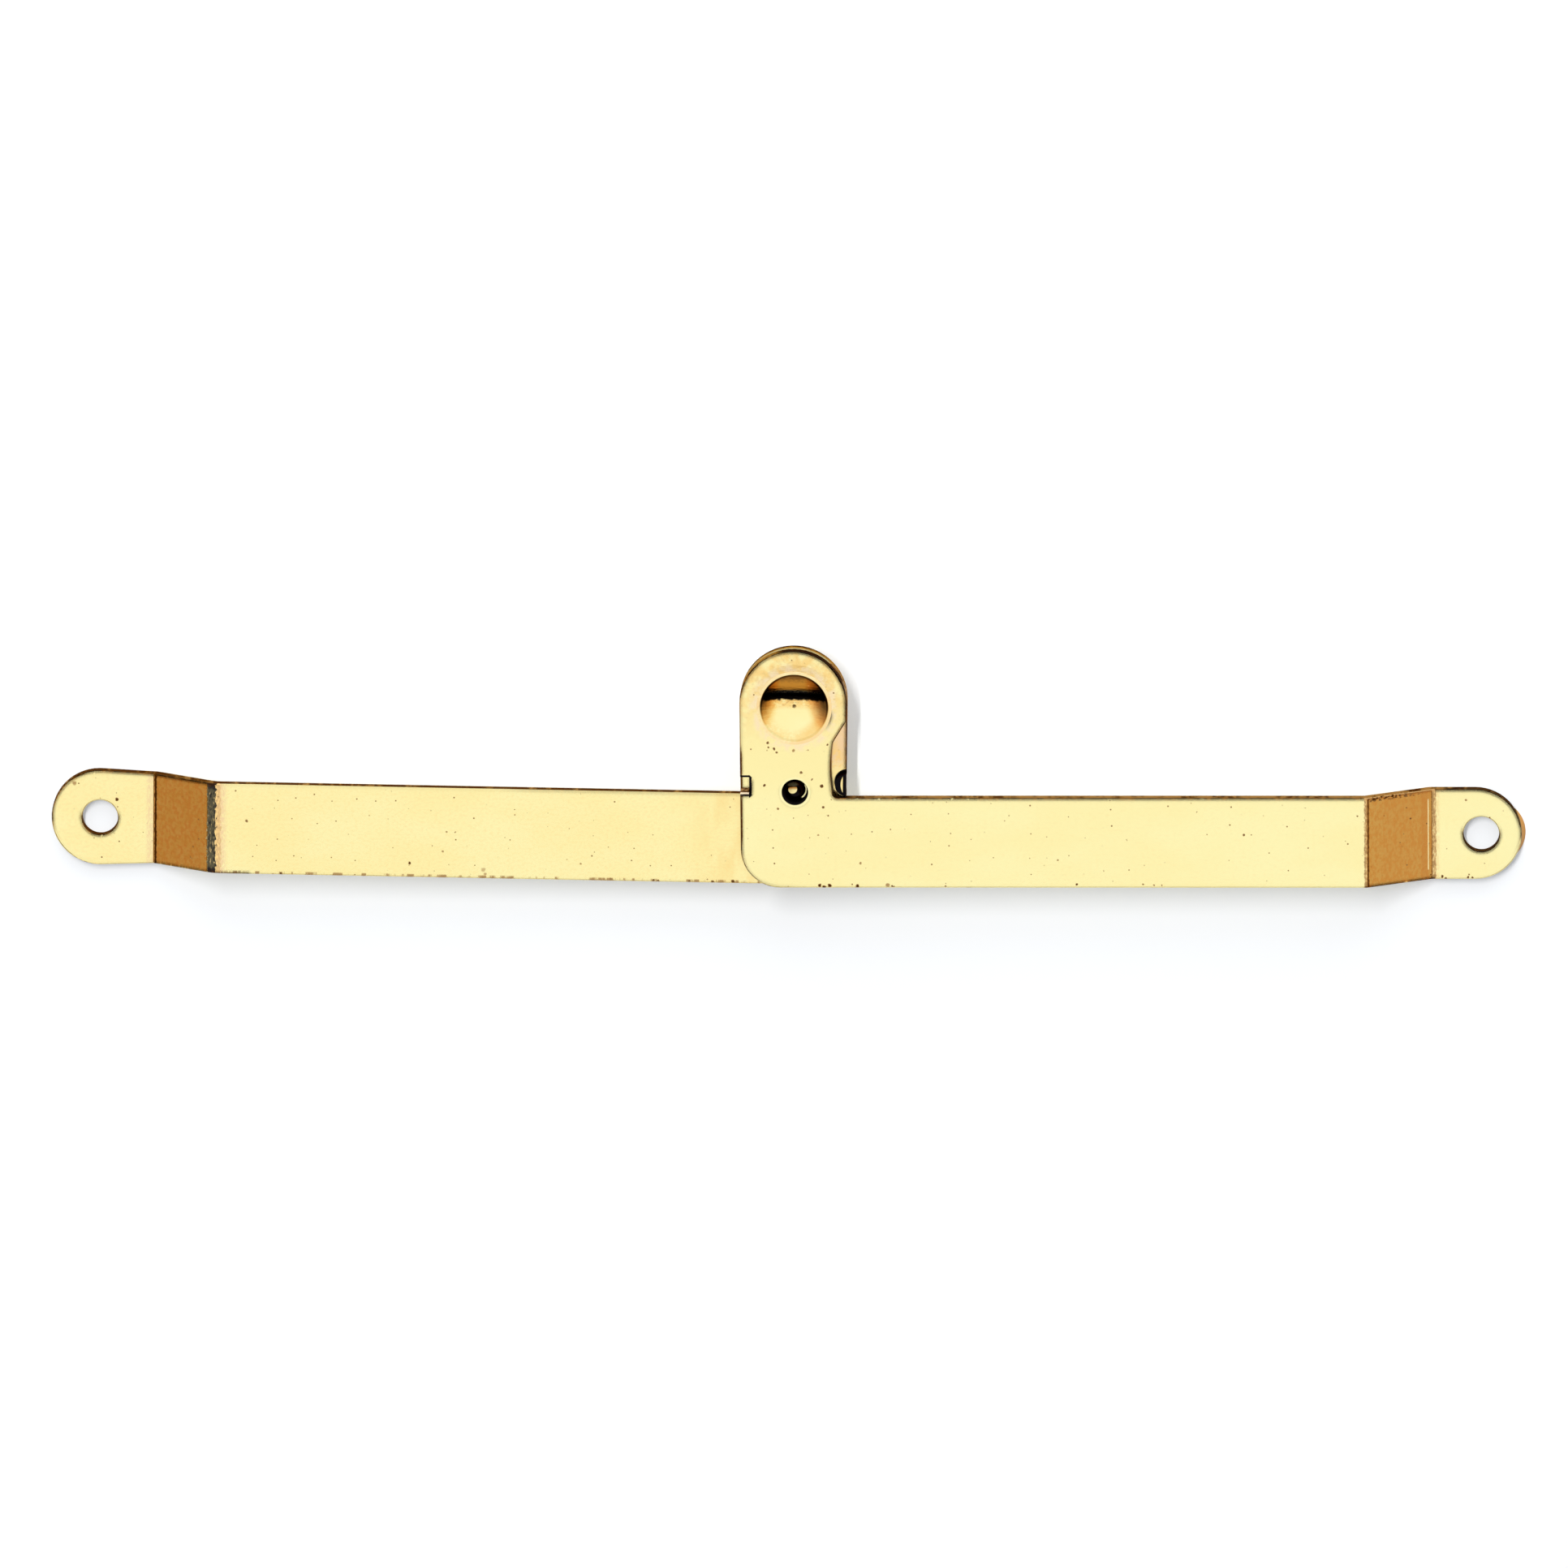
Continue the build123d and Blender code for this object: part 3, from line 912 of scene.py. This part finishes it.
def lug_shade(tree, x, y):
    """Painted shade all over the rear arm's lug but for a crescent, which stays bright as a painted
    highlight.
    """
    lug = times(
        tree,
        rise(tree, reach_from(tree, x, y, lug_centre), 1.52, 1.44),
        rise(tree, y, strip_top + 0.05, strip_top + 0.15),
    )
    crescent = times(
        tree,
        rise(tree, reach_from(tree, x, y, lug_light_centre), 1.90, 1.84),
        rise(tree, x, *lug_light_side),
    )
    return times(tree, lug, rest_of(tree, crescent))


# Rivet


def rivet_metal():
    material, tree, output = new_material("rivet_plating")
    place = own_place(tree, 0)
    flat = flattened(tree, place)
    x, y, _ = split(tree, place)
    plate = use_group(tree, plating, Place=place)
    fine = plate.outputs["Grain"]
    blotch = grain(tree, place, 1.3, 4.0)
    reach = reach_from(tree, x, y, (0, 0))
    up = maths(tree, "DIVIDE", y, maths(tree, "MAXIMUM", reach, 0.01))
    in_dish = rise(tree, reach, dish_edge + 0.04, dish_edge - 0.04)

    # In the dish: more orange towards the rim and on the lower right as painted shade, and an
    # orange and brown band below the middle
    colour = blend(tree, plate.outputs["Cloud"], plate_yellow, plate_pale)
    outer = rise(tree, reach, 2.2, 3.7)
    colour = lay(tree, colour, plate_orange, outer, rise(tree, fine, 0.2, 0.7), 0.6)
    middle = times(tree, band(tree, y, 0.3, 1.2, 0.8), rise(tree, blotch, 0.28, 0.52), 0.9)
    colour = blend(tree, middle, colour, plate_orange)
    colour = lay(tree, colour, crank_brown, middle, rise(tree, fine, 0.52, 0.72), 0.8)
    low_right = rise(tree, maths(tree, "SUBTRACT", x, y), 2.9, 4.6)
    colour = lay(tree, colour, plate_orange, low_right, 0.7)

    # Painted reflection in the dish towards the head, brown and umber, and a black streak along its
    # lower border
    reflection_depth = maths(tree, "MULTIPLY_ADD", fine, 0.8, y)
    dish_reflection_colour = blend(tree, rise(tree, reflection_depth, 3.0, 4.1), dish_amber, dish_umber)
    high = rise(tree, y, 1.7, 2.0)
    colour = lay(tree, colour, dish_reflection_colour, high, in_dish, rise(tree, blotch, 0.15, 0.35))
    ragged_y = maths(tree, "MULTIPLY_ADD", blotch, 0.7, y)
    streak = (rise(tree, ragged_y, 1.02, 1.22), rise(tree, y, 1.8, 1.5), in_dish)
    colour = lay(tree, colour, painted_black, *streak)

    # The ring round the dish, its dark edge, darker on the upper half as painted shade, and the
    # centre mark
    ring = rise(tree, reach, dish_edge + 0.05, dish_edge + 0.12)
    colour = lay(tree, colour, plate_pink, ring, 0.35)
    shade = maths(tree, "ADD", times(tree, rise(tree, up, -0.5, 0.3), 0.9), 0.1)
    rim = times(tree, band(tree, reach, dish_edge - 0.16, dish_edge + 0.02, 0.06), shade)
    mark = times(tree, rise(tree, distance(tree, flat, centre_mark), 0.26, 0.14), 0.85)
    colour = blend(tree, most(tree, rim, mark), colour, cut_brown)
    finish_metal(
        tree,
        output,
        colour,
        mark,
        most(tree, mark, rim),
        maths(tree, "MULTIPLY_ADD", fine, 0.06, 0.05),
        plate.outputs["Height"],
        rivet_bump_depth,
    )
    return material


for node_name, material in (
    ("front_arm", front_arm_metal()),
    ("rear_arm", rear_arm_metal()),
    ("pivot_rivet", rivet_metal()),
):
    for slot in frame["nodes"][node_name].material_slots:
        slot.material = material


# Floor


def floor_material():
    """A pale floor that keeps shadows and shows white where the camera or the metal sees it lit."""
    material, tree, output = new_material("pale_floor")
    diffuse = put(tree, "BsdfDiffuse")
    diffuse.inputs["Color"].default_value = (floor_grey, floor_grey, floor_grey, 1)
    path = put(tree, "LightPath")
    glow = put(tree, "Emission")
    glow.inputs["Color"].default_value = (*glow_colour, 1)
    seen = most(
        tree,
        path.outputs["Is Camera Ray"],
        path.outputs["Is Glossy Ray"],
        path.outputs["Is Transmission Ray"],
    )
    feed(tree, times(tree, seen, floor_glow), glow.inputs["Strength"])
    both = put(tree, "AddShader")
    feed(tree, diffuse.outputs["BSDF"], both.inputs[0])
    feed(tree, glow.outputs["Emission"], both.inputs[1])
    feed(tree, both.outputs["Shader"], output.inputs["Surface"])
    return material


def lay_floor():
    """A plane under the rear tab's foot and the front tab's tip."""
    foot_x = pivot.x + rear_foot * MILLIMETRE
    slope = front_low.z / (front_high.x - foot_x)
    half = floor_size / 2
    mesh = bpy.data.meshes.new("floor")
    corners = []
    for x, y in ((-half, -half), (half, -half), (half, half), (-half, half)):
        height = (x + pivot.x - foot_x) * slope - floor_clearance
        corners.append((x + pivot.x, y, height))
    mesh.from_pydata(corners, [], [(0, 1, 2, 3)])
    mesh.materials.append(floor_material())
    floor = bpy.data.objects.new("floor", mesh)
    bpy.context.scene.collection.objects.link(floor)


lay_floor()


# Light


def hang_strip_lamp():
    """The lamp that throws the shadows. The metal doesn't mirror it."""
    way = Vector(strip_lamp_way).normalized()
    spread = strip_lamp_width * strip_lamp_length
    radiance = strip_lamp_irradiance * strip_lamp_distance**2 / spread
    lamp = bpy.data.lights.new("strip_lamp", "AREA")
    lamp.shape = "RECTANGLE"
    lamp.size = strip_lamp_width
    lamp.size_y = strip_lamp_length
    lamp.energy = radiance * math.pi * spread
    body = bpy.data.objects.new("strip_lamp", lamp)
    along = (Vector((0, 1, 0)) - way * way.y).normalized()
    facing = Matrix((along.cross(way), along, way)).transposed().to_4x4()
    body.matrix_world = Matrix.Translation(pivot + way * strip_lamp_distance) @ facing
    body.visible_glossy = False
    bpy.context.scene.collection.objects.link(body)


hang_strip_lamp()


# What the metal mirrors, by the direction it looks in: white overhead, a dark gap towards the
# foot, and brown sides. Each stop is a component of that direction, from -1 to 1, and a colour.
foot_to_head_stops = (
    (-0.72, (1.00, 1.00, 1.00)),
    (-0.66, (0.90, 0.86, 0.80)),
    (-0.61, (0.004, 0.004, 0.012)),
    (-0.47, (0.004, 0.004, 0.012)),
    (-0.45, (0.42, 0.27, 0.13)),
    (-0.42, (0.85, 0.72, 0.56)),
    (-0.37, (1.00, 1.00, 1.00)),
)
left_to_right_stops = (
    (-0.96, (0.50, 0.24, 0.075)),
    (-0.86, (0.48, 0.22, 0.06)),
    (-0.80, (0.09, 0.06, 0.03)),
    (-0.68, (0.09, 0.06, 0.04)),
    (-0.56, (0.40, 0.23, 0.13)),
    (-0.43, (0.88, 0.60, 0.40)),
    (-0.37, (0.96, 0.86, 0.72)),
    (-0.30, (1.00, 1.00, 1.00)),
    (0.32, (1.00, 1.00, 1.00)),
    (0.39, (0.97, 0.87, 0.70)),
    (0.45, (0.90, 0.63, 0.36)),
    (0.57, (0.50, 0.27, 0.09)),
    (0.66, (0.05, 0.03, 0.02)),
    (0.74, (0.03, 0.02, 0.02)),
    (0.79, (0.63, 0.36, 0.16)),
    (0.96, (0.63, 0.36, 0.16)),
)
overhead_light = 1.05
side_spread = 0.75
low_sky = (0.92, 0.90, 0.86)
low_sky_top = 0.36
low_sky_foot = 0.27

# Far from the overhead way the dark gap turns into low sky, so that little but the dish mirrors it.
overhead_way_y = -0.24
overhead_way_z = 0.97
dish_cone = (0.66, 0.58)
foot_side = (-0.38, -0.46)

# What lights the dull surfaces, and where its stronger share begins, towards the heads
fill_light = (0.285, 0.300, 0.325)
head_fill_light = (3.45, 3.60, 3.80)
head_fill_start = (0.55, 0.95)


def direction_ramp(tree, component, stops):
    """A colour ramp over one component of a direction."""
    ramp = put(tree, "ValToRGB")
    elements = ramp.color_ramp.elements
    elements.remove(elements[1])
    for index, (component_value, colour) in enumerate(stops):
        position = (component_value + 1) / 2
        element = elements[0] if index == 0 else elements.new(position)
        element.position = position
        element.color = (*colour, 1)
    feed(tree, maths(tree, "MULTIPLY_ADD", component, 0.5, 0.5), ramp.inputs["Fac"])
    return ramp.outputs["Color"]


def studio_world():
    world = bpy.data.worlds.new("studio")
    bpy.context.scene.world = world
    world.use_nodes = True
    tree = world.node_tree
    tree.nodes.clear()
    x, y, z = split(tree, put(tree, "TexCoord").outputs["Generated"])
    lit = put(tree, "Mix")
    lit.data_type = "RGBA"
    lit.blend_type = "MULTIPLY"
    lit.inputs[0].default_value = 1.0
    feed(tree, direction_ramp(tree, y, foot_to_head_stops), lit.inputs[6])
    from_overhead = maths(tree, "SUBTRACT", y, overhead_way_y)
    widened = rest_of(tree, times(tree, from_overhead, side_spread))
    feed(tree, direction_ramp(tree, times(tree, x, widened), left_to_right_stops), lit.inputs[7])
    bright = put(tree, "VectorMath")
    bright.operation = "SCALE"
    feed(tree, lit.outputs[2], bright.inputs[0])
    bright.inputs["Scale"].default_value = overhead_light
    height = times(tree, z, overhead_way_z)
    overhead = maths(tree, "MULTIPLY_ADD", y, overhead_way_y, height)
    beyond_dish = times(tree, rise(tree, overhead, *dish_cone), rise(tree, y, *foot_side))
    low = most(tree, rise(tree, z, low_sky_top, low_sky_foot), beyond_dish)
    sky = blend(tree, low, bright.outputs["Vector"], low_sky)
    path = put(tree, "LightPath")
    low_fill = blend(tree, rise(tree, y, *head_fill_start), fill_light, head_fill_light)
    seen = blend(tree, path.outputs["Is Glossy Ray"], low_fill, sky)
    seen = blend(tree, path.outputs["Is Camera Ray"], seen, (1.0, 1.0, 1.0))
    back = put(tree, "Background")
    feed(tree, seen, back.inputs["Color"])
    output = put(tree, "OutputWorld")
    feed(tree, back.outputs["Background"], output.inputs["Surface"])


studio_world()
bpy.context.scene.view_settings.view_transform = "Standard"


# Camera


def place_camera():
    """The camera looks along a line near the vertical, with its up side towards the heads."""
    tilt, lean, roll = (math.radians(a) for a in (camera_tilt, camera_lean, camera_roll))
    toward = Vector(
        (math.sin(lean), math.sin(tilt) * math.cos(lean), math.cos(tilt) * math.cos(lean))
    )
    aim = (Vector(cad_low) + Vector(cad_high)) / 2 + Vector((aim_shift_x, aim_shift_y, 0))
    up = (Vector((0, 1, 0)) - toward * toward.y).normalized()
    right = up.cross(toward)
    turned_right = right * math.cos(roll) + up * math.sin(roll)
    turned_up = up * math.cos(roll) - right * math.sin(roll)
    turn = Matrix((turned_right, turned_up, toward)).transposed().to_4x4()
    lens = bpy.data.cameras.new("camera")
    lens.sensor_width = sensor_width
    lens.lens = sensor_width * camera_distance / view_width
    lens.clip_end = clip_end
    camera = bpy.data.objects.new("camera", lens)
    camera.matrix_world = Matrix.Translation(aim + toward * camera_distance) @ turn
    bpy.context.scene.collection.objects.link(camera)
    bpy.context.scene.camera = camera


place_camera()
